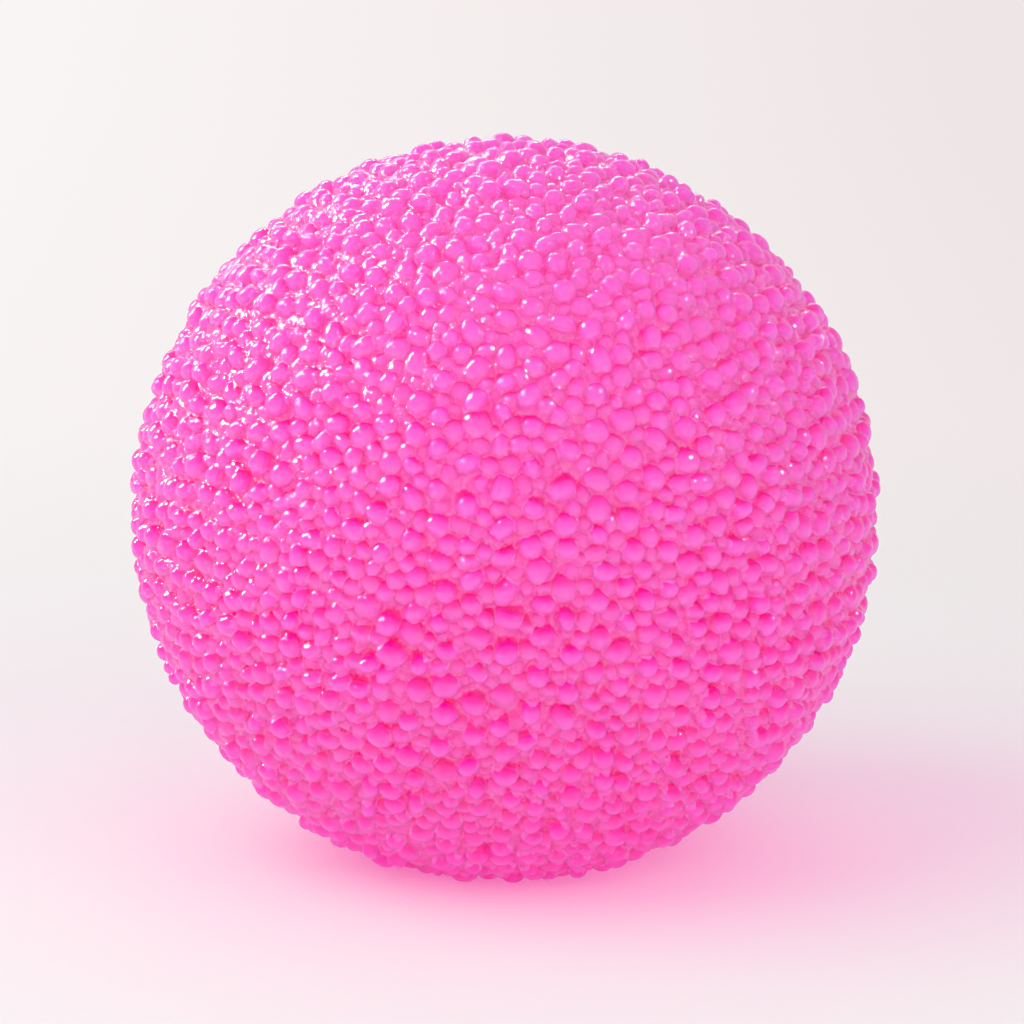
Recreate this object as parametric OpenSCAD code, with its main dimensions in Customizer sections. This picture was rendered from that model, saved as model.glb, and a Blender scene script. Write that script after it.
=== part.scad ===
// Soft hollow sensory ball: a one-piece rubber skin covered in moulded nubs, a valve sleeve
// bonded into a boss on the back of the skin, and a push-in plug that keeps the air in.
// The ball stands on the small flat that its own weight presses into the base.

/* [Ball] */
// Diameter over the tallest nubs
ball_d = 75; // [60:1:110]
// Wall of the skin between nubs
skin_wall = 2; // [1.6:0.1:3]
// Depth of the flat pressed into the base, measured from the valleys between nubs
base_sag = 1.3; // [0.8:0.1:2.5]

/* [Nubs] */
// Rows of nubs along each edge of the net that spaces them
net_rows = 8; // [5:1:8]
// Rise of the tallest nub above the valleys
nub_rise = 1.3; // [0.8:0.1:2]
// Share of that rise that the lowest nubs have
nub_low_share = 0.75; // [0.4:0.05:1]
// Most that a nub strays sideways from the net, by itself
nub_stray = 0.35; // [0:0.05:0.6]
// Most that a valley strays sideways from the net, by itself
valley_stray = 0.1; // [0:0.05:0.3]
// Most that the whole net sways sideways in waves
net_sway = 0.5; // [0:0.05:0.6]

/* [Valve] */
// Diameter of the bare patch round the valve
valve_patch_d = 15; // [13:0.5:20]
// Diameter of the boss inside the skin
boss_d = 14; // [12:0.5:18]
// Depth of the boss from the skin's outer face
boss_depth = 9; // [7:0.5:14]
// Outer diameter of the valve sleeve
sleeve_d = 7; // [6:0.1:8]
// Bore of the valve sleeve
sleeve_bore_d = 3.6; // [3:0.1:4.4]
// Diameter of the sleeve's outer flange
flange_d = 10.4; // [9:0.1:11]
// Thickness of the sleeve's outer flange
flange_t = 1.2; // [0.8:0.1:2]
// Diameter of the lip that holds the sleeve behind the boss
lip_d = 9; // [8:0.1:10]
// Length of that lip
lip_len = 2.2; // [1.5:0.1:4]
// Clearance of the bond between sleeve and boss
bond_gap = 0.05; // [0.02:0.01:0.1]

/* [Plug] */
// Diameter of the plug's head
plug_head_d = 9.6; // [8:0.1:10.2]
// Thickness of the plug's head, which stands as proud as the nubs
plug_head_t = 1.2; // [0.8:0.1:2]
// Radial clearance of the plug's stem in the sleeve
stem_gap = 0.1; // [0.05:0.01:0.3]
// How far the stem stops short of the sleeve's inner end
stem_short = 1; // [0:0.1:3]
// Chamfer on the plug's head and tip and on the sleeve's lip
edge_cut = 0.5; // [0.2:0.1:0.7]

/* [Hidden] */
$fn = 180;
overrun = 1;
skin_color = [0.98, 0.36, 0.68];
sleeve_color = [0.98, 0.62, 0.80];
plug_color = [0.96, 0.44, 0.72];

ball_r = ball_d / 2;
valley_r = ball_r - nub_rise;
cavity_r = valley_r - skin_wall;
centre_z = valley_r - base_sag;

// The nubs stand on a net: an icosahedron whose faces are divided evenly and blown up to a ball.
// Every third point of the net carries a nub, and the six points round it are its valleys.
net_steps = 3 * net_rows;
golden_ratio = (1 + sqrt(5)) / 2;
// Net points nearer to each other than this share of the net's radius are one point
same_share = 0.000001;
// Turns that scatter the strays, one for each way that a point can stray
scatter_turns = [[1270, 3110, 740], [2690, 1830, 2460], [1130, 2710, 1240], [4190, 3710, 610]];
scatter_gain = 437;
// Turns of the waves in which the net sways, one for each axis
sway_turns = [[310, 720, -540], [680, -290, 610], [-450, 580, 690]];

net_corners = [
    for (a = [-1, 1])
    for (b = [-golden_ratio, golden_ratio])
    for (p = [[0, a, b], [a, b, 0], [b, 0, a]])
    p
];
last_corner = len(net_corners) - 1;
net_edge = min([for (p = net_corners) for (q = net_corners) if (p != q) norm(p - q)]);

// Corners of each face of the icosahedron, in the order that makes the face look outwards
net_faces = [
    for (i = [0:last_corner])
    for (j = [0:last_corner])
    for (k = [0:last_corner])
    let (a = net_corners[i])
    let (b = net_corners[j])
    let (c = net_corners[k])
    if (i < j && i < k && norm(a - b) + norm(b - c) + norm(c - a) < 3 * net_edge + net_edge / 2)
    if (cross(b - a, c - a) * a > 0)
    [a, b, c]
];

// A number from 0 to 1 that depends only on the direction, so faces agree along their edges
function scatter(u, way) =
    let (s = scatter_gain * sin(u * scatter_turns[way]))
    s - floor(s);

// Direction of the net point i steps towards corner a and j steps towards corner b of a face
function net_dir(f, i, j) =
    let (p = i * f[0] + j * f[1] + (net_steps - i - j) * f[2])
    let (u = p / norm(p) / same_share)
    same_share * [round(u[0]), round(u[1]), round(u[2])];

function is_nub(step) = (step[0] + 2 * step[1]) % 3 == 0;

// True where a nub would stand on the bare patch round the valve
function on_patch(p) = p[1] > 0 && norm([p[0], p[2]]) < valve_patch_d / 2;

// Net point of a face on the finished skin, strayed sideways and raised if it is a nub
function skin_point(f, step) =
    let (u = net_dir(f, step[0], step[1]))
    let (stray = is_nub(step) ? nub_stray : valley_stray)
    let (away = [for (way = [0:2]) stray * (2 * scatter(u, way) - 1) + net_sway * sin(u * sway_turns[way])])
    let (p = valley_r * u + away)
    let (high = nub_rise * (nub_low_share + (1 - nub_low_share) * scatter(u, 3)))
    (is_nub(step) && !on_patch(p) ? valley_r + high : valley_r) * p / norm(p);

// The two triangles of the net beside step i, j of a face, clockwise from outside
function net_triangles(i, j) = concat(
    [[[i, j], [i, j + 1], [i + 1, j]]],
    i + j < net_steps - 1 ? [[[i + 1, j], [i, j + 1], [i + 1, j + 1]]] : []
);

skin_points = [
    for (f = net_faces)
    for (i = [0:net_steps - 1])
    for (j = [0:net_steps - 1 - i])
    for (t = net_triangles(i, j))
    for (step = t)
    skin_point(f, step)
];

// Places along the valve's axis, as distances from the ball's centre
seat_y = valley_r - flange_t;
boss_end_y = valley_r - boss_depth;
sleeve_end_y = boss_end_y - lip_len;
head_top_y = valley_r + plug_head_t;
stem_end_y = sleeve_end_y + stem_short;
stem_r = sleeve_bore_d / 2 - stem_gap;

// Stands a shape drawn along +Z at the valve, with +Z pointing straight out of the back
module on_valve_axis() {
    translate([0, 0, centre_z])
        rotate([-90, 0, 0])
            children();
}

// Hollow of the skin, level over the flat, less the boss that carries the valve
module cavity() {
    difference() {
        intersection() {
            translate([0, 0, centre_z])
                sphere(cavity_r);
            translate([-ball_r, -ball_r, skin_wall])
                cube(ball_d);
        }
        on_valve_axis()
            translate([0, 0, boss_end_y])
                cylinder(d = boss_d, h = boss_depth + overrun);
    }
}

module skin() {
    color(skin_color)
        difference() {
            translate([0, 0, centre_z])
                polyhedron(skin_points, [for (k = [0:3:len(skin_points) - 1]) [k, k + 1, k + 2]]);
            translate([-ball_r, -ball_r, -ball_d])
                cube(ball_d);
            cavity();
            on_valve_axis() {
                translate([0, 0, boss_end_y - overrun])
                    cylinder(d = sleeve_d + 2 * bond_gap, h = boss_depth + 2 * overrun);
                translate([0, 0, seat_y - bond_gap])
                    cylinder(d = flange_d + 2 * bond_gap, h = flange_t + overrun);
            }
        }
}

// Flanged tube, with a chamfered lip that snaps behind the boss
module valve_sleeve() {
    lip_top_y = boss_end_y - bond_gap;
    color(sleeve_color)
        on_valve_axis()
            rotate_extrude()
                polygon([
                    [sleeve_bore_d / 2, sleeve_end_y],
                    [lip_d / 2 - edge_cut, sleeve_end_y],
                    [lip_d / 2, sleeve_end_y + edge_cut],
                    [lip_d / 2, lip_top_y],
                    [sleeve_d / 2, lip_top_y],
                    [sleeve_d / 2, seat_y],
                    [flange_d / 2, seat_y],
                    [flange_d / 2, valley_r],
                    [sleeve_bore_d / 2, valley_r]
                ]);
}

// Stopper with a flat head and a stem that runs down the sleeve
module plug() {
    color(plug_color)
        on_valve_axis()
            rotate_extrude()
                polygon([
                    [0, stem_end_y],
                    [stem_r - edge_cut, stem_end_y],
                    [stem_r, stem_end_y + edge_cut],
                    [stem_r, valley_r],
                    [plug_head_d / 2, valley_r],
                    [plug_head_d / 2, head_top_y - edge_cut],
                    [plug_head_d / 2 - edge_cut, head_top_y],
                    [0, head_top_y]
                ]);
}

skin();
valve_sleeve();
plug();
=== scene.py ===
# %% [markdown]
# # A soft nubbed sensory ball
# The real toy is one hollow moulding of soft, see-through pink rubber, covered all over in small round
# nubs. A valve sleeve is bonded into its back, and a plug keeps the air in. The CAD frame already holds the
# right sizes, so this lesson loads it, dresses the ball in a finer skin, gives every piece its rubber, and
# lights it as in a small studio.

import math

import bpy
import numpy as np
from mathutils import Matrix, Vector


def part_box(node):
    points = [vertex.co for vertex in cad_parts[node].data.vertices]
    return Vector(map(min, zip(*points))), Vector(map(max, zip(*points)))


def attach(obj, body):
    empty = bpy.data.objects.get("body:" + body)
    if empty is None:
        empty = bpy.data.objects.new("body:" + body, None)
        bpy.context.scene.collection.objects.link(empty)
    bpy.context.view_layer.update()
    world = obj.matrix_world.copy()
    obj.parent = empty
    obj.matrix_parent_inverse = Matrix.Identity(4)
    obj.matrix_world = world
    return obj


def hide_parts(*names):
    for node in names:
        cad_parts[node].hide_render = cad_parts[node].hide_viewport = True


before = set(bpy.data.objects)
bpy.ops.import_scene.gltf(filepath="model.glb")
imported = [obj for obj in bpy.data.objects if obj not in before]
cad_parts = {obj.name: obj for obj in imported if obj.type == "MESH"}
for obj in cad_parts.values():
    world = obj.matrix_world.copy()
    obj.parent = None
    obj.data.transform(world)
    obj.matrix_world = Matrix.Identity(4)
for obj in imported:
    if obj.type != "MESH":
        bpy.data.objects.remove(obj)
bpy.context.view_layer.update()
MM = 0.001
print("pieces in the frame:", sorted(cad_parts))

# %% [markdown]
# ## Driving sizes
# Nothing is measured twice: the sleeve's outer face lies flush with the valleys between the nubs, so the
# sleeve's box gives the ball's radius there, and the plug's box gives the height of the valve's axis, which
# runs through the ball's centre. The few sizes that no box gives are written here, in millimetres, as in
# the CAD source.

# %% Sizes of the ball
sleeve_low, sleeve_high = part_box("valve_sleeve")
plug_low, plug_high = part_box("plug")
valley_r = sleeve_high.y / MM
centre_z = (plug_low.z + plug_high.z) / 2 / MM
tip_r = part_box("skin")[1].z / MM - centre_z
skin_wall = 2.0
print(f"valleys {valley_r:.2f} mm, tips {tip_r:.2f} mm from the centre, which is {centre_z:.2f} mm up")

# %% Sizes of the valve seat in the back of the skin
bond_gap = 0.05
flange_t = 1.2
sleeve_r = 3.5
boss_r = 7.0
boss_depth = 9.0
patch_r = 7.5
seat_r = (sleeve_high.x - sleeve_low.x) / 2 / MM + bond_gap
seat_depth = flange_t + bond_gap
hole_r = sleeve_r + bond_gap
print(f"seat {2 * seat_r:.1f} mm wide in a bare patch {2 * patch_r:.1f} mm wide")

# %% [markdown]
# ## Where the nubs stand
# On the real ball a few thousand nubs crowd the skin, with tiny ones wherever a gap is left. They are
# neither in rows nor quite random. The CAD skin already carries the large nubs as small pyramids, so its
# tips give their places and heights, and the dressed ball keeps them, give or take a little. It has none on
# its flat underneath, so pressed nubs are set there along a spiral. The tiny ones are too many for a solid:
# they start on a spiral too, are knocked out of it at random, and all of them then push each other apart,
# as crowded beads do.

# %% Find the nubs of the CAD skin
SEED = 11
TIP_SHARE = 0.6
TIP_DIGITS = 2
rng = np.random.default_rng(SEED)


def unit(vectors):
    """The same directions with length 1."""
    return vectors / np.linalg.norm(vectors, axis=-1, keepdims=True)


cad_skin = np.array([v.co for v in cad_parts["skin"].data.vertices]) / MM - (0, 0, centre_z)
cad_rise = np.linalg.norm(cad_skin, axis=1) - valley_r
raised = cad_skin[cad_rise > TIP_SHARE * (tip_r - valley_r)]
tips = np.unique(np.round(raised, TIP_DIGITS), axis=0)
nub_dirs = unit(tips)
nub_rise = np.linalg.norm(tips, axis=1) - valley_r
nub_pitch = math.sqrt(4 * math.pi * valley_r**2 / len(tips))
print(f"{len(tips)} nubs, {nub_pitch:.2f} mm apart, {nub_rise.min():.2f} to {nub_rise.max():.2f} mm high")

# %% Add the pressed nubs underneath and the tiny ones
NUB_R = 1.1
NUB_R_SPREAD = 0.1
NUB_R_RANGE = (0.75, 1.25)
TINY_COUNT = 3400
TINY_R = 0.78
TINY_R_RANGE = (0.65, 1.35)
TINY_STRAY_SHARE = 0.6


def spiral_places(count):
    """Directions spread evenly over a ball, along a spiral from top to bottom."""
    step = np.arange(count) + 0.5
    height = 1 - 2 * step / count
    turn = step * math.pi * (3 - math.sqrt(5))
    ring = np.sqrt(1 - height**2)
    return np.stack([ring * np.cos(turn), ring * np.sin(turn), height], axis=1)


lowest_nub = nub_dirs[:, 2].min()
under = spiral_places(len(tips))
under = under[under[:, 2] < lowest_nub - nub_pitch / valley_r / 2]
tiny = spiral_places(TINY_COUNT)
tiny = unit(tiny + rng.normal(scale=TINY_STRAY_SHARE * nub_pitch / valley_r, size=tiny.shape))
nub_dirs = np.concatenate([nub_dirs, under, tiny])
large_count = len(tips) + len(under)
nub_r = np.concatenate([
    NUB_R * np.clip(rng.normal(1.0, NUB_R_SPREAD, large_count), *NUB_R_RANGE),
    TINY_R * rng.uniform(*TINY_R_RANGE, TINY_COUNT),
])
print(f"{len(under)} pressed nubs underneath, {TINY_COUNT} tiny ones")

# %% Let them push each other apart
PUSH_ROUNDS = 8
PUSHES = 4
CROWDING = 1.02
NEIGHBOURS = 18
LARGE_GIVE = 0.03
TINY_GIVE = 0.2
LEAST_GAP = 0.01


def nearest(dirs, count):
    """Indices of each direction's nearest neighbours, itself left out."""
    closeness = dirs.astype(np.float32) @ dirs.astype(np.float32).T
    np.fill_diagonal(closeness, -np.inf)
    return np.argpartition(-closeness, count, axis=1)[:, :count]


give = np.where(np.arange(len(nub_r)) < large_count, LARGE_GIVE, TINY_GIVE)[:, None]
for _ in range(PUSH_ROUNDS):
    near = nearest(nub_dirs, NEIGHBOURS)
    for _ in range(PUSHES):
        away = nub_dirs[:, None] - nub_dirs[near]
        gap = np.linalg.norm(away, axis=2) * valley_r
        wanted = CROWDING * (nub_r[:, None] + nub_r[near])
        push = np.clip(wanted - gap, 0, None) / np.maximum(gap, LEAST_GAP)
        nub_dirs = unit(nub_dirs + give * (push[:, :, None] * away).sum(axis=1))

moved = np.linalg.norm(nub_dirs[: len(tips)] - unit(tips), axis=1) * valley_r
print(f"the large nubs moved {moved.mean():.2f} mm on average and {moved.max():.2f} mm at most")

# %% Give each nub its height
LOW_RISE = 0.65
HIGH_RISE = 1.6
TINY_RISE_RANGE = (0.6, 1.1)
tall = (nub_rise - nub_rise.min()) / np.ptp(nub_rise)
nub_high = np.concatenate([
    LOW_RISE + (HIGH_RISE - LOW_RISE) * tall**2,
    np.full(len(under), LOW_RISE),
    nub_r[large_count:] * rng.uniform(*TINY_RISE_RANGE, TINY_COUNT),
])
print(f"nubs from {nub_high.min():.2f} to {nub_high.max():.2f} mm high")

# %% Clear the patch round the valve
# Flat places stand in the patch instead, so that every point of the skin still has a place to belong to.
# They lie in rings, each given as a share of the patch's radius and a number of places.
FLAT_RINGS = ((0.36, 8), (0.72, 16), (0.98, 32))
FLAT_R = 1e-4
off_axis = np.linalg.norm(nub_dirs[:, [0, 2]], axis=1) * valley_r
keep = (nub_dirs[:, 1] < 0) | (off_axis > patch_r + nub_r)
flat_dirs = [(0, 1, 0)]
for ring_share, places in FLAT_RINGS:
    ring_r = ring_share * patch_r
    for turn in np.arange(places) * 2 * math.pi / places:
        flat_dirs.append((ring_r * math.cos(turn), valley_r, ring_r * math.sin(turn)))
nub_dirs = np.concatenate([nub_dirs[keep], unit(np.array(flat_dirs, float))])
nub_r = np.concatenate([nub_r[keep], np.full(len(flat_dirs), FLAT_R)])
nub_high = np.concatenate([nub_high[keep], np.full(len(flat_dirs), FLAT_R)])
print(f"{keep.sum()} nubs left, {len(flat_dirs)} flat places in the patch")

# %% [markdown]
# ## The shape of one nub
# A nub is a bead of rubber, sunk about half into the skin and slightly oval. A low one is a plain dome, and
# a tall one is narrower at its neck than at its waist. A displaced ball can't make that neck, because a
# height can't fold back under itself. So each point of the skin finds the nub it belongs to, and how far it
# is on the way from that nub's tip to the border with the next one. Along that way it is laid onto a
# profile: first over the dome, then out along the valley. Where a border lies closer than the bead is wide,
# the dome just stops there, and two beads meet in a crease, as merged ones do. Weighing the borders by the
# squares of the radii puts them exactly where two such beads intersect.

# %% Character of each nub
NECK_ANGLES = (math.radians(80), math.radians(125))
MOST_OVAL = 0.26
OVAL_BIAS = 1.5
MOST_DENT = 0.05
NEAR_POLE = 0.9
oval = MOST_OVAL * rng.uniform(0, 1, len(nub_r)) ** OVAL_BIAS
oval_turn = rng.uniform(0, math.pi, len(nub_r))
dent = rng.uniform(0, MOST_DENT, len(nub_r))
dent_turn = rng.uniform(0, 2 * math.pi, len(nub_r))
nub_tone = rng.uniform(0, 1, len(nub_r))
neck = np.interp(nub_high, (LOW_RISE, HIGH_RISE), NECK_ANGLES)
rise_r = nub_high / (1 - np.cos(neck))
neighbours = nearest(nub_dirs, NEIGHBOURS)
helper = np.where(np.abs(nub_dirs[:, 2:]) < NEAR_POLE, [[0.0, 0.0, 1.0]], [[1.0, 0.0, 0.0]])
nub_east = unit(np.cross(helper, nub_dirs))
nub_north = np.cross(nub_dirs, nub_east)
print(f"domes up to {nub_high.max():.2f} mm high and {2 * nub_r.max():.2f} mm wide")

# %% Find the nub of a point, and the border ahead of it
LEAST_AHEAD = 1e-6


def owners(dirs):
    """The nub that each direction belongs to."""
    pull = np.column_stack([2 * valley_r**2 * nub_dirs, nub_r**2]).astype(np.float32)
    return np.argmax(np.column_stack([dirs, np.ones(len(dirs))]).astype(np.float32) @ pull.T, axis=1)


def border_ahead(owner, axis, heading):
    """Distance from each nub's axis to its nearest border in the given heading."""
    other = neighbours[owner]
    to_other = nub_dirs[other]
    to_other = to_other / np.sum(to_other * axis[:, None], axis=2, keepdims=True)
    to_other = valley_r * (to_other - axis[:, None])
    ahead = np.sum(heading[:, None] * to_other, axis=2)
    span = np.sum(to_other**2, axis=2) + nub_r[owner][:, None] ** 2 - nub_r[other] ** 2
    crossing = span / (2 * np.maximum(ahead, LEAST_AHEAD))
    return np.where(ahead > LEAST_AHEAD, crossing, np.inf).min(axis=1)


print("the first nub owns its own axis:", owners(nub_dirs[:1])[0] == 0)

# %% Lay skin points onto their nubs
VALLEY_DIP = 0.2
OPEN_ROOM = (1.0, 1.18)
PROUD_RISE = (0.2, 0.9)
FARTHEST_BORDER = 3 * nub_pitch
LEAST_WAY = 1e-9


def smooth_step(low, high, x):
    """0 up to low, 1 from high on, and a soft rise between."""
    t = np.clip((x - low) / (high - low), 0, 1)
    return t * t * (3 - 2 * t)


def raise_nubs(dirs):
    """Places of the skin's points on their nubs.

    With each place come its rise, how far up the nub's side it lies, its way to the border, and its nub.
    """
    owner = owners(dirs)
    axis = nub_dirs[owner]
    offset = valley_r * (dirs / np.sum(dirs * axis, axis=1, keepdims=True) - axis)
    reach = np.maximum(np.linalg.norm(offset, axis=1), LEAST_WAY)
    heading = offset / reach[:, None]
    border = np.clip(border_ahead(owner, axis, heading), reach, FARTHEST_BORDER)

    # Half the bead's width in this heading
    north = np.sum(heading * nub_north[owner], axis=1)
    east = np.sum(heading * nub_east[owner], axis=1)
    turn = np.arctan2(north, east)
    oval_part = oval[owner] * np.cos(2 * (turn - oval_turn[owner]))
    dent_part = dent[owner] * np.cos(3 * (turn - dent_turn[owner]))
    waist = (1 + oval_part + dent_part) * nub_r[owner]

    # The angle from the tip at which the dome ends, and the height of the valley's edge
    rise = rise_r[owner]
    room = border / waist
    open_share = smooth_step(*OPEN_ROOM, room)
    widest = np.minimum(neck[owner], math.pi / 2)
    meet = np.minimum(np.arcsin(np.clip(room, 0, 1)), widest)
    end = np.where(room < 1, meet, widest + (neck[owner] - widest) * open_share)
    middle = -rise * np.cos(neck[owner])
    foot_out = waist * np.sin(end)
    foot_up = middle + rise * np.cos(end)
    edge_up = np.where(room < 1, foot_up, middle * (1 - open_share) - VALLEY_DIP * open_share)

    # Walk along the profile: over the dome, then along the valley
    dome_way = waist * end
    valley_way = np.hypot(border - foot_out, edge_up - foot_up)
    walked = reach / border * (dome_way + valley_way)
    angle = np.minimum(walked / waist, end)
    along = np.clip((walked - dome_way) / np.maximum(valley_way, LEAST_WAY), 0, 1)
    on_dome = walked < dome_way
    out = np.where(on_dome, waist * np.sin(angle), foot_out + along * (border - foot_out))
    up = np.where(on_dome, middle + rise * np.cos(angle), foot_up + along * (edge_up - foot_up))

    # The flat places of the valve's patch have no bead
    flat = nub_r[owner] <= FLAT_R
    out = np.where(flat, reach, out)
    up = np.where(flat, 0, up)
    proud = smooth_step(*PROUD_RISE, nub_high[owner])
    side = np.where(flat, 0, heading[:, 2] * np.clip(out / waist, 0, 1) * proud)
    to_edge = np.where(flat, 1, dome_way + valley_way - walked)
    points = unit(valley_r * axis + out[:, None] * heading) * (valley_r + up)[:, None]
    return points, up, side, to_edge, owner


print(f"the first nub's tip rises {raise_nubs(nub_dirs[:1])[1][0]:.2f} mm")

# %% [markdown]
# ## The net under the skin
# The points come from an icosahedron whose twenty faces are divided finely and blown up to a ball, because
# its triangles are nearly alike everywhere, without the pinched poles of a globe. Each face also gives its
# points a place on a flat chart, so the finish can be drawn on the model later without a seam through the
# nubs. The low nubs are then softened a little against their neighbours, because moulded rubber has no
# sharp creases.

# %% Divide an icosahedron
NET_STEPS = 176
CHART_GRID = (4, 3)
CHART_SPREAD = 0.94
CHART_MARGINS = (0.01, 0.05)
ROUNDING = 1e6


def icosahedron():
    """Corners and outward-facing faces of an icosahedron of radius 1."""
    golden_ratio = (1 + math.sqrt(5)) / 2
    corners = [(0, a, b * golden_ratio) for a in (-1, 1) for b in (-1, 1)]
    corners = corners + [(p[1], p[2], 0) for p in corners] + [(p[2], 0, p[1]) for p in corners]
    corners = unit(np.array(corners))
    # Corners of one edge have a cosine of 0.45, and all others less than zero
    joined = corners @ corners.T > 0
    faces = []
    for i in range(len(corners)):
        for j in range(i + 1, len(corners)):
            for k in range(j + 1, len(corners)):
                if joined[i, j] and joined[j, k] and joined[i, k]:
                    outward = np.linalg.det(corners[[i, j, k]]) > 0
                    faces.append((i, j, k) if outward else (i, k, j))
    return corners, faces


def split_face(steps):
    """Places of a face's points, as shares of its two sides, and its triangles."""
    places = [(i, j) for i in range(steps + 1) for j in range(steps + 1 - i)]
    number = {place: n for n, place in enumerate(places)}
    triangles = []
    for i in range(steps):
        for j in range(steps - i):
            triangles.append((number[i, j], number[i + 1, j], number[i, j + 1]))
            if i + j < steps - 1:
                triangles.append((number[i + 1, j], number[i + 1, j + 1], number[i, j + 1]))
    return np.array(places) / steps, np.array(triangles)


def fine_net(steps):
    """Directions, triangles and chart places of a finely divided icosahedron."""
    corners, faces = icosahedron()
    places, split = split_face(steps)
    shares = np.column_stack([1 - places.sum(axis=1), places[:, 0], places[:, 1]])
    dirs, triangles, charts = [], [], []
    for n, face in enumerate(faces):
        dirs.append(unit(shares @ corners[list(face)]))
        triangles.append(split + n * len(places))
        # Two faces share each square of the chart, the second one turned round
        half = places if n % 2 == 0 else 1 - places
        square = (n // 2 % CHART_GRID[0], n // 2 // CHART_GRID[0])
        charts.append((half * CHART_SPREAD + CHART_MARGINS[n % 2] + square) / CHART_GRID)
    dirs = np.concatenate(dirs)
    triangles = np.concatenate(triangles)
    charts = np.concatenate(charts)[triangles]
    rounded = np.round(dirs * ROUNDING).astype(np.int64)
    _, first, same = np.unique(rounded, axis=0, return_index=True, return_inverse=True)
    return dirs[first], same.ravel()[triangles], charts


net_dirs, net_triangles, net_charts = fine_net(NET_STEPS)
print(f"net of {len(net_dirs)} points and {len(net_triangles)} triangles")

# %% Raise the nubs on the net
CHUNKS = 40
chunks = [raise_nubs(chunk) for chunk in np.array_split(net_dirs, CHUNKS)]
skin_points, skin_rise, skin_side, skin_to_edge, skin_owner = (np.concatenate(part) for part in zip(*chunks))
print(f"skin reaches {np.linalg.norm(skin_points, axis=1).max():.2f} mm from the centre")

# %% Soften the low nubs
SOFT_SHARE = 0.8
SOFT_RISES = (0.6, 1.1)


def edge_ways(triangles):
    """Both ends of each triangle's edges, in the order of its corners."""
    return np.concatenate([triangles[:, [0, 1]], triangles[:, [1, 2]], triangles[:, [2, 0]]])


start, end = edge_ways(net_triangles).T
count = len(skin_points)
around = np.column_stack([np.bincount(start, skin_points[end, k], count) for k in range(3)])
around = around / np.bincount(start, minlength=count)[:, None]
blend = SOFT_SHARE * (1 - smooth_step(*SOFT_RISES, nub_high[skin_owner]))[:, None]
skin_points += blend * (around - skin_points)
print(f"{np.mean(blend > 0):.0%} of the skin softened")

# %% [markdown]
# ## The back: seat, boss and hollow
# The skin is a real hollow moulding, so it gets an inside too. Cutting it with a boolean would leave
# slivers among half a million triangles. Instead the net is opened over the valve seat, its edge is drawn
# out to a true circle, and one turned profile carries on from that edge: down the seat, through the
# sleeve's hole, round the boss, and over the whole inside of the hollow to its far end.

# %% Open the net over the seat
on_seat = (skin_points[:, 1] > 0) & (np.hypot(skin_points[:, 0], skin_points[:, 2]) < seat_r)
left = ~on_seat[net_triangles].any(axis=1)
net_triangles = net_triangles[left]
net_charts = net_charts[left]
ways = {tuple(way) for way in edge_ways(net_triangles).tolist()}
rim_next = {a: b for a, b in ways if (b, a) not in ways}
rim = [min(rim_next)]
while rim_next[rim[-1]] != rim[0]:
    rim.append(rim_next[rim[-1]])
rim_turn = np.arctan2(skin_points[rim, 2], skin_points[rim, 0])
edge_y = np.full(len(rim), math.sqrt(valley_r**2 - seat_r**2))
skin_points[rim] = np.column_stack([seat_r * np.cos(rim_turn), edge_y, seat_r * np.sin(rim_turn)])
print(f"the seat's edge has {len(rim)} points")

# %% Turn the seat, the boss and the hollow
SOFT_EDGE = 0.15
HOLLOW_RINGS = 90
hollow_r = valley_r - skin_wall
seat_y = valley_r - seat_depth
boss_y = valley_r - boss_depth
profile = [
    (seat_r, seat_y + SOFT_EDGE),
    (seat_r - SOFT_EDGE, seat_y),
    (hole_r + SOFT_EDGE, seat_y),
    (hole_r, seat_y - SOFT_EDGE),
    (hole_r, boss_y + SOFT_EDGE),
    (hole_r + SOFT_EDGE, boss_y),
    (boss_r - SOFT_EDGE, boss_y),
    (boss_r, boss_y + SOFT_EDGE),
]
for angle in np.linspace(math.asin(boss_r / hollow_r), math.pi, HOLLOW_RINGS + 1)[:-1]:
    profile.append((hollow_r * math.sin(angle), hollow_r * math.cos(angle)))
rings = [rim]
inner_points = []
for ring_r, ring_y in profile:
    first = len(skin_points) + len(inner_points)
    rings.append(list(range(first, first + len(rim))))
    for turn in rim_turn:
        inner_points.append((ring_r * math.cos(turn), ring_y, ring_r * math.sin(turn)))
far_end = len(skin_points) + len(inner_points)
inner_points.append((0, -hollow_r, 0))
print(f"the inside has {len(inner_points)} points in {len(profile)} rings")

# %% Join the rings
INNER_SQUARE = (3, 2)
INNER_MARGIN = 0.03
inner_triangles = []
inner_charts = []
for row, (ring, next_ring) in enumerate(zip(rings, rings[1:] + [None])):
    v, next_v = row / len(rings), (row + 1) / len(rings)
    for k in range(len(rim)):
        m = (k + 1) % len(rim)
        u, next_u = k / len(rim), (k + 1) / len(rim)
        if next_ring is None:
            inner_triangles.append((ring[m], ring[k], far_end))
            inner_charts.append(((next_u, v), (u, v), (u, next_v)))
            continue
        inner_triangles.append((ring[m], ring[k], next_ring[k]))
        inner_triangles.append((ring[m], next_ring[k], next_ring[m]))
        inner_charts.append(((next_u, v), (u, v), (u, next_v)))
        inner_charts.append(((next_u, v), (u, next_v), (next_u, next_v)))
inner_charts = (np.array(inner_charts) * CHART_SPREAD + INNER_MARGIN + INNER_SQUARE) / CHART_GRID
print(f"the inside has {len(inner_triangles)} triangles")

# %% [markdown]
# ## Its own weight
# A soft ball doesn't stand on a point: its underside gives way until it carries the ball. A plain cut would
# leave a sharp edge there. So everything that would lie lower than the floor is pressed up to it by a
# smooth maximum, which rounds the skin into the flat. The inside is pressed to one wall above the floor, so
# the wall keeps its thickness, and the nubs underneath are flattened as they are on a table.

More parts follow.
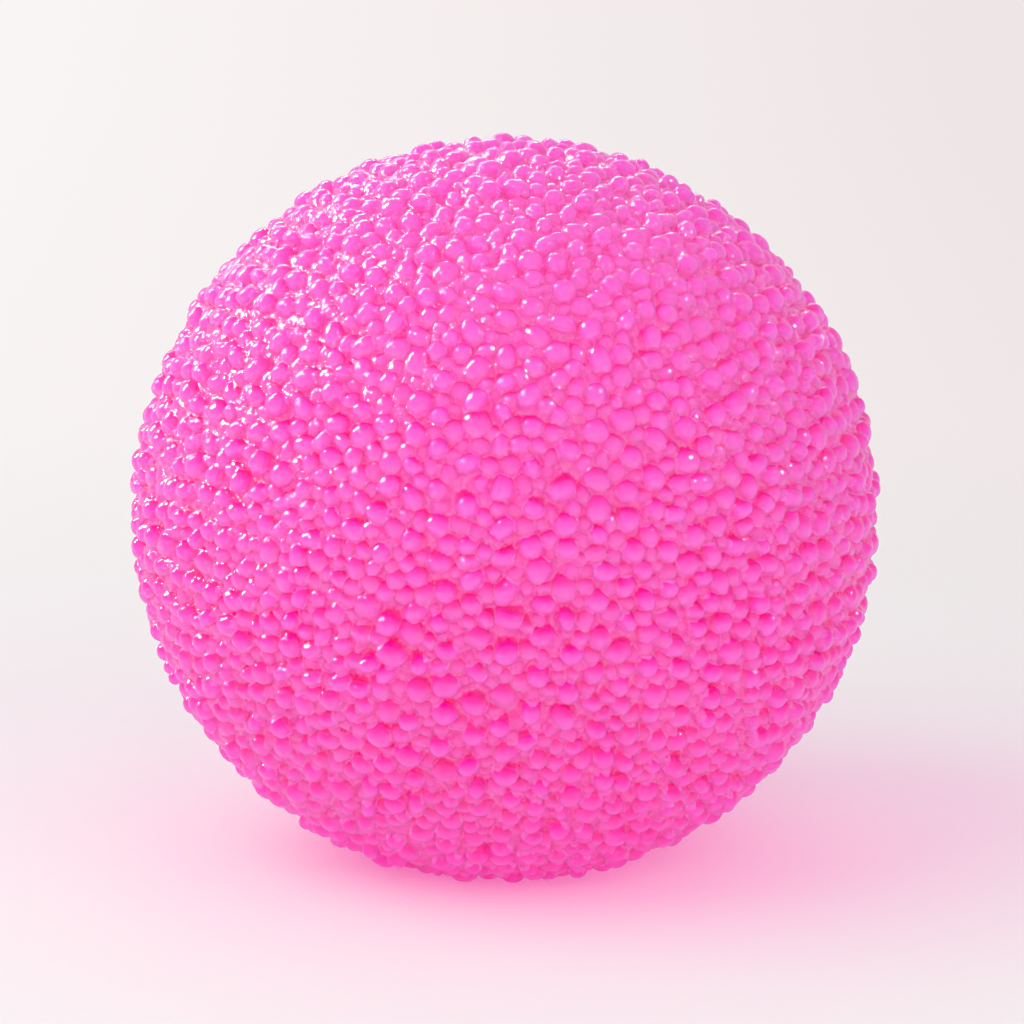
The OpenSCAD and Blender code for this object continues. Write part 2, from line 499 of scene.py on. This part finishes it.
# %% Press the base flat
SOFT_FLOOR = 0.3
ON_FLOOR = 0.1


def settle(points, floor):
    """Points of the ball, set on the floor, with everything lower pressed up to that height."""
    height = points[:, 2] + centre_z - floor
    pressed = floor + (height + np.hypot(height, SOFT_FLOOR)) / 2
    return np.column_stack([points[:, :2], pressed])


all_points = np.concatenate([settle(skin_points, 0), settle(np.array(inner_points), skin_wall)]) * MM
all_triangles = np.concatenate([net_triangles, np.array(inner_triangles)])
all_charts = np.concatenate([net_charts, inner_charts])
used = np.zeros(len(all_points), bool)
used[all_triangles] = True
renumber = np.cumsum(used) - 1
print(f"pressed flat: {np.sum(all_points[used][:, 2] < ON_FLOOR * MM)} points on the floor")


# %% Make the skin's mesh
def mesh_object(name, points, triangles):
    """A smooth mesh in the scene, made from arrays."""
    mesh = bpy.data.meshes.new(name)
    mesh.vertices.add(len(points))
    mesh.vertices.foreach_set("co", points.astype(np.float32).ravel())
    mesh.loops.add(triangles.size)
    mesh.loops.foreach_set("vertex_index", triangles.astype(np.int32).ravel())
    mesh.polygons.add(len(triangles))
    mesh.polygons.foreach_set("loop_start", np.arange(0, triangles.size, 3, dtype=np.int32))
    mesh.polygons.foreach_set("use_smooth", np.ones(len(triangles), bool))
    mesh.update(calc_edges=True)
    mesh.validate()
    thing = bpy.data.objects.new(name, mesh)
    bpy.context.scene.collection.objects.link(thing)
    return thing


ball_skin = mesh_object("ball_skin", all_points[used], renumber[all_triangles])
chart = ball_skin.data.uv_layers.new(name="OFBake")
chart.data.foreach_set("uv", all_charts.astype(np.float32).ravel())
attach(ball_skin, "ball")
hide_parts("skin")
print(f"skin: {len(ball_skin.data.vertices)} points, {len(ball_skin.data.polygons)} faces")

# %% Write on each point what its finish needs
for name, outer_values, inner_value in (
    ("nub_rise", skin_rise / (tip_r - valley_r), 0),
    ("nub_side", skin_side, 0),
    ("to_edge", skin_to_edge, 1),
    ("nub_tone", nub_tone[skin_owner], 0.5),
):
    values = np.concatenate([outer_values, np.full(len(inner_points), inner_value)])[used]
    layer = ball_skin.data.attributes.new(name, "FLOAT", "POINT")
    layer.data.foreach_set("value", values.astype(np.float32))
    print(f"{name} from {values.min():.2f} to {values.max():.2f}")

# %% [markdown]
# ## Reckoning with sockets
# Node graphs built by hand hide their sums. This small class wraps a socket so that a sum on it is written
# as Python and adds its Math nodes, and one method makes any other node from its type, settings and socket
# values.


# %% A socket to reckon with
class Wire:
    """A socket of a node tree, or just the tree while there is no socket yet."""

    def __init__(self, tree, socket=None):
        self.tree = tree
        self.socket = socket

    def node(self, kind, settings=None, values=None, out=0):
        made = self.tree.nodes.new(kind)
        for name, value in (settings or {}).items():
            setattr(made, name, value)
        for name, value in (values or {}).items():
            if isinstance(value, Wire):
                self.tree.links.new(value.socket, made.inputs[name])
            else:
                made.inputs[name].default_value = value
        return Wire(self.tree, made.outputs[out] if made.outputs else None)

    def math(self, operation, first, second):
        return self.node("ShaderNodeMath", {"operation": operation}, {0: first, 1: second})

    def __add__(self, other):
        return self.math("ADD", self, other)

    def __sub__(self, other):
        return self.math("SUBTRACT", self, other)

    def __rsub__(self, other):
        return self.math("SUBTRACT", other, self)

    def __mul__(self, other):
        return self.math("MULTIPLY", self, other)

    __radd__, __rmul__ = __add__, __mul__


print("sockets can now be added, subtracted and multiplied")


# %% Nodes that are used again and again
def mix_colours(share, first, second):
    return share.node("ShaderNodeMix", {"data_type": "RGBA"}, {0: share, 6: first, 7: second}, out=2)


def mix_shaders(share, first, second):
    return share.node("ShaderNodeMixShader", values={0: share, 1: first, 2: second})


def way_between(low, high, value, kind="LINEAR"):
    """0 at low, 1 at high, the share of the way between them, and nothing beyond."""
    ends = {"Value": value, "From Min": low, "From Max": high}
    return value.node("ShaderNodeMapRange", {"interpolation_type": kind}, ends)


def written(wire, name):
    """What was written on the points under this name."""
    return wire.node("ShaderNodeAttribute", {"attribute_name": name}, out="Fac")


def ray_is(wire, kind):
    return wire.node("ShaderNodeLightPath", out=f"Is {kind} Ray")


def new_material(name):
    material = bpy.data.materials.new(name)
    material.use_nodes = True
    material.node_tree.nodes.clear()
    return material, Wire(material.node_tree)


def show(wire, shader):
    wire.node("ShaderNodeOutputMaterial", values={"Surface": shader})


print("materials so far:", len(bpy.data.materials))

# %% [markdown]
# ## See-through pink rubber
# The skin is glossy and cloudy: light sinks in, scatters, and comes out again pinker. Subsurface scattering
# gives that glowing look. Lamp light also passes right through the thin walls, which is why the ball's far
# side isn't dark and why its shadow is pink. Tracing that exactly would need many bounces, so light on its
# way to a lamp is let through with a tint at every wall instead. Each nub also bends light as a small lens
# does, so it is deeper in its upper side and brighter in its lower one. Both are painted: painted shade
# above and painted light below, coloured by how far up the nub's side a point lies. The thin seams between
# nubs get painted pale highlight lines for the light that creases catch, and no two nubs are quite alike.


# %% Rubber of the skin
def skin_colour(wire):
    """Painted shade above and painted light below on each nub, its own tone, and painted seam highlights."""
    side = written(wire, "nub_side")
    colour = mix_colours(written(wire, "nub_tone"), (0.94, 0.02, 0.39, 1), (0.98, 0.05, 0.47, 1))
    # Painted light: the lower side of a tall nub is coloured paler, as its lens would brighten it
    painted_light_below = way_between(0.9, -0.9, side)
    colour = mix_colours(painted_light_below, colour, (1.0, 0.17, 0.59, 1))
    # Painted shade: the upper side of a tall nub is coloured deeper, as its lens would darken it
    painted_shade_above = way_between(0.15, 0.9, side)
    colour = mix_colours(painted_shade_above, colour, (0.88, 0.0, 0.30, 1))
    # Painted highlight: thin pale lines along the seams, where the creases would catch light
    painted_seam_highlight = way_between(0.25, 0.05, written(wire, "to_edge"))
    return mix_colours(painted_seam_highlight * 0.6, colour, (1.0, 0.24, 0.68, 1))


def skin_wrinkles(wire, place):
    """Fine wrinkles of the rubber, strong in the valleys and faint on the nubs."""
    noise = {"Vector": place, "Scale": 1100.0, "Detail": 2.0, "Distortion": 0.6}
    wrinkle = wire.node("ShaderNodeTexNoise", values=noise)
    valley = 1 - way_between(0.1, 0.6, written(wire, "nub_rise"), "SMOOTHSTEP")
    height = wrinkle * (valley * 0.9 + 0.1)
    return wire.node("ShaderNodeBump", values={"Strength": 1.0, "Distance": 0.5 * MM, "Height": height})


def skin_rubber():
    material, wire = new_material("pink_rubber")
    place = wire.node("ShaderNodeTexCoord", out="Object")
    cloud = wire.node("ShaderNodeTexNoise", values={"Vector": place, "Scale": 160.0, "Detail": 3.0})
    rubber = wire.node(
        "ShaderNodeBsdfPrincipled",
        {"subsurface_method": "RANDOM_WALK"},
        {
            "Base Color": skin_colour(wire),
            "Roughness": 0.02 + cloud * 0.04,
            "Normal": skin_wrinkles(wire, place),
            "IOR": 1.5,
            "Specular IOR Level": 0.8,
            "Sheen Weight": 0.15,
            "Sheen Roughness": 0.3,
            "Sheen Tint": (1.0, 0.7, 0.9, 1),
            "Subsurface Weight": 1.0,
            "Subsurface Radius": (1.0, 0.35, 0.8),
            "Subsurface Scale": 5.0 * MM,
        },
    )
    let_through = wire.node("ShaderNodeBsdfTransparent", values={"Color": (0.99, 0.78, 0.93, 1)})
    show(wire, mix_shaders(ray_is(wire, "Shadow"), rubber, let_through))
    return material


ball_skin.data.materials.append(skin_rubber())
print("skin wears", ball_skin.data.materials[0].name)

# %% [markdown]
# ## Valve rubber
# The sleeve and the plug are turned shapes that the CAD model already has right, so they stay and only get
# a finish: a softer, satin rubber, paler than the skin, with a fine matt grain from the mould.


# %% Rubber of the sleeve and the plug
def satin_rubber(name, colour, paler):
    material, wire = new_material(name)
    place = wire.node("ShaderNodeTexCoord", out="Object")
    cloud = wire.node("ShaderNodeTexNoise", values={"Vector": place, "Scale": 350.0, "Detail": 4.0})
    grain = wire.node("ShaderNodeTexNoise", values={"Vector": place, "Scale": 5000.0, "Detail": 2.0})
    dents = wire.node("ShaderNodeBump", values={"Strength": 0.15, "Distance": 0.05 * MM, "Height": grain})
    rubber = wire.node(
        "ShaderNodeBsdfPrincipled",
        {"subsurface_method": "RANDOM_WALK"},
        {
            "Base Color": mix_colours(cloud, colour, paler),
            "Roughness": 0.3 + cloud * 0.2,
            "Normal": dents,
            "IOR": 1.45,
            "Subsurface Weight": 0.6,
            "Subsurface Radius": (1.0, 0.3, 0.5),
            "Subsurface Scale": 1.0 * MM,
        },
    )
    show(wire, rubber)
    return material


for node, colour, paler in (
    ("valve_sleeve", (0.95, 0.25, 0.55, 1), (0.97, 0.34, 0.62, 1)),
    ("plug", (0.95, 0.10, 0.43, 1), (0.97, 0.16, 0.50, 1)),
):
    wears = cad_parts[node].data.materials
    wears.clear()
    wears.append(satin_rubber(node + "_rubber", colour, paler))
    print(node, "wears", wears[0].name)

# %% [markdown]
# ## Studio
# The ball stands on a pale sheet that curves up behind it. Two broad soft lamps, one high on the left and
# one in front on the right, light it together with the pale room, so its shadow stays soft. Four lamps show
# only as glints in the gloss: a long strip on the left, one behind, and a small one on either side. Away
# from the ball the sheet shows a pale colour with painted shade that deepens towards the right, so the
# background needs no more light on the ball, and near the ball it is plain paper that takes the pink shadow.

# %% Paper of the sheet
PALE_LEFT = (0.95, 0.915, 0.91, 1)
PAINTED_SHADE_RIGHT = (0.855, 0.785, 0.79, 1)


def sheet_paper():
    material, wire = new_material("pale_sheet")
    place = wire.node("ShaderNodeTexCoord", out="Object")
    across = wire.node("ShaderNodeSeparateXYZ", values={"Vector": place}, out="X")
    back = wire.node("ShaderNodeSeparateXYZ", values={"Vector": place}, out="Y")
    away = wire.node("ShaderNodeVectorMath", {"operation": "LENGTH"}, {0: place}, out="Value")
    behind = way_between(0.02, 0.24, back, "SMOOTHSTEP")
    round_about = way_between(0.2, 0.5, away, "SMOOTHSTEP")
    to_eye = ray_is(wire, "Camera")
    seen = to_eye + ray_is(wire, "Glossy") + ray_is(wire, "Transmission")
    far = wire.math("MAXIMUM", behind * seen, round_about * to_eye)
    # Painted shade: the backdrop goes from pale on the left to a darker colour on the right
    backdrop = mix_colours(way_between(-0.1, 0.1, across), PALE_LEFT, PAINTED_SHADE_RIGHT)
    matt = {"Base Color": (0.88, 0.87, 0.87, 1), "Roughness": 0.9}
    paper = wire.node("ShaderNodeBsdfPrincipled", values=matt)
    pale = wire.node("ShaderNodeEmission", values={"Color": backdrop})
    show(wire, mix_shaders(far, paper, pale))
    return material


print("paper from", PALE_LEFT[:3], "on the left to", PAINTED_SHADE_RIGHT[:3], "on the right")

# %% Lay the sheet
SHEET_WIDE = 3.0
SHEET_FRONT = -1.2
SHEET_TOP = 1.6
BEND_FROM = 0.5
BEND_R = 0.4
BEND_STEPS = 24
line = [(SHEET_FRONT, 0.0), (BEND_FROM, 0.0)]
for turn in np.linspace(0, math.pi / 2, BEND_STEPS + 1)[1:]:
    line.append((BEND_FROM + BEND_R * math.sin(turn), BEND_R * (1 - math.cos(turn))))
line.append((BEND_FROM + BEND_R, SHEET_TOP))
sheet_points = [(side * SHEET_WIDE / 2, y, z) for y, z in line for side in (-1, 1)]
quads = [(2 * k, 2 * k + 1, 2 * k + 3, 2 * k + 2) for k in range(len(line) - 1)]
sheet_mesh = bpy.data.meshes.new("studio_sheet")
sheet_mesh.from_pydata(sheet_points, [], quads)
sheet_mesh.polygons.foreach_set("use_smooth", [True] * len(quads))
sheet_mesh.materials.append(sheet_paper())
sheet = bpy.data.objects.new("studio_sheet", sheet_mesh)
bpy.context.scene.collection.objects.link(sheet)
print(f"sheet laid, {SHEET_WIDE} m wide")

# %% Lamps
ball_centre = Vector((0, 0, centre_z * MM))


def soft_lamp(name, place, size, power, glint):
    """A lamp aimed at the ball that either lights it or only glints in its gloss."""
    light = bpy.data.lights.new(name, "AREA")
    light.shape = "RECTANGLE"
    light.energy = power
    light.size, light.size_y = size
    light.cycles.use_multiple_importance_sampling = glint
    lamp = bpy.data.objects.new(name, light)
    lamp.location = place
    lamp.rotation_euler = (ball_centre - Vector(place)).to_track_quat("-Z", "Y").to_euler()
    lamp.visible_glossy = glint
    lamp.visible_diffuse = not glint
    bpy.context.scene.collection.objects.link(lamp)


soft_lamp("key_lamp", (-0.50, -0.20, 0.50), (0.7, 0.7), 3.0, glint=False)
soft_lamp("front_fill", (0.40, -0.65, 0.25), (0.9, 0.9), 3.4, glint=False)
soft_lamp("film_shine", (-0.55, 0.12, 0.45), (0.12, 0.45), 7.0, glint=True)
soft_lamp("back_shine", (-0.12, 0.50, 0.52), (0.5, 0.06), 2.0, glint=True)
soft_lamp("left_shine", (-0.48, -0.36, 0.57), (0.03, 0.04), 1.2, glint=True)
soft_lamp("right_shine", (0.51, -0.19, 0.47), (0.04, 0.04), 1.5, glint=True)

# %% Room
room = bpy.data.worlds.new("room")
room.use_nodes = True
room.node_tree.nodes.clear()
wire = Wire(room.node_tree)
room_light = wire.node("ShaderNodeBackground", values={"Color": (1.0, 0.985, 0.99, 1), "Strength": 0.55})
room_seen = wire.node("ShaderNodeBackground", values={"Color": PALE_LEFT, "Strength": 1.0})
room_shader = mix_shaders(ray_is(wire, "Camera"), room_light, room_seen)
wire.node("ShaderNodeOutputWorld", values={"Surface": room_shader})
bpy.context.scene.world = room
print("the room is", room.name)

# %% [markdown]
# ## Camera
# A short telephoto lens, a little above the ball, looking along +Y. Its distance follows from how wide the
# ball is in the frame, and a small shift sets the ball a touch left of the middle.

# %% Aim the camera
FRAME_PX = 1024
BALL_PX = 373
BALL_AT = (505.6, 510.3)
ELEVATION = math.radians(12)
LENS_MM = 180
camera_data = bpy.data.cameras.new("camera")
camera_data.lens = LENS_MM
focal_px = camera_data.lens / camera_data.sensor_width * FRAME_PX
distance = tip_r * MM * math.hypot(focal_px / BALL_PX, 1)
camera_data.shift_x = (FRAME_PX / 2 - BALL_AT[0]) / FRAME_PX
camera_data.shift_y = (BALL_AT[1] - FRAME_PX / 2) / FRAME_PX
camera = bpy.data.objects.new("camera", camera_data)
camera.location = ball_centre + distance * Vector((0, -math.cos(ELEVATION), math.sin(ELEVATION)))
camera.rotation_euler = (math.pi / 2 - ELEVATION, 0, 0)
bpy.context.scene.collection.objects.link(camera)
bpy.context.scene.camera = camera
bpy.context.scene.view_settings.view_transform = "Standard"
print(f"camera {distance:.3f} m from the ball's centre")
